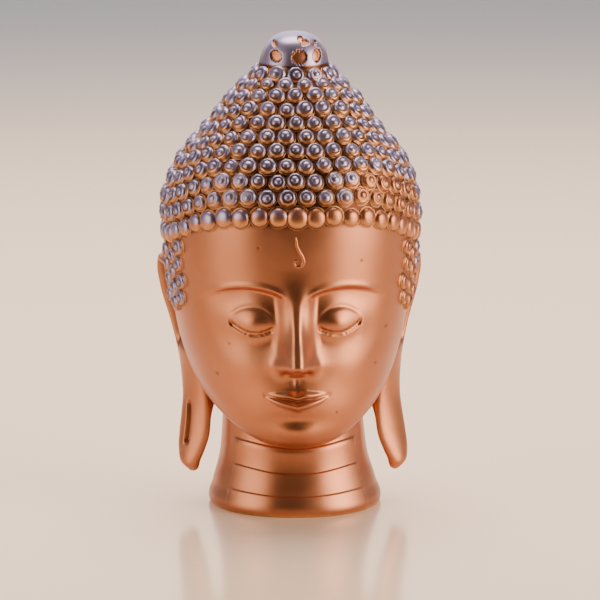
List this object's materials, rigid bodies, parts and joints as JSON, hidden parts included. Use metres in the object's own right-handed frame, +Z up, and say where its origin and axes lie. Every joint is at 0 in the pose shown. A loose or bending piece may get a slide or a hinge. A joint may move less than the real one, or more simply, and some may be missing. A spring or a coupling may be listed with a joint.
{
  "type": "buddha head figurine",
  "caption": "Small Buddha head standing on its own flared neck, with long-lobed ears, rows of snail-shell curls and a smooth crown dome.",
  "frame": {"origin": "centre of the flat underside of the neck, on which the figurine stands", "axes": "+Z up from the underside to the crown, the face looks towards -Y and its left ear is at +X"},
  "size_m": [0.0835, 0.094, 0.15],
  "materials": {
    "copper_paint": "satin copper metallic paint over cast resin, curls brushed with pale silver"
  },
  "bodies": {
    "root": {"buddha_head": "copper_paint"}
  },
  "joints": []
}
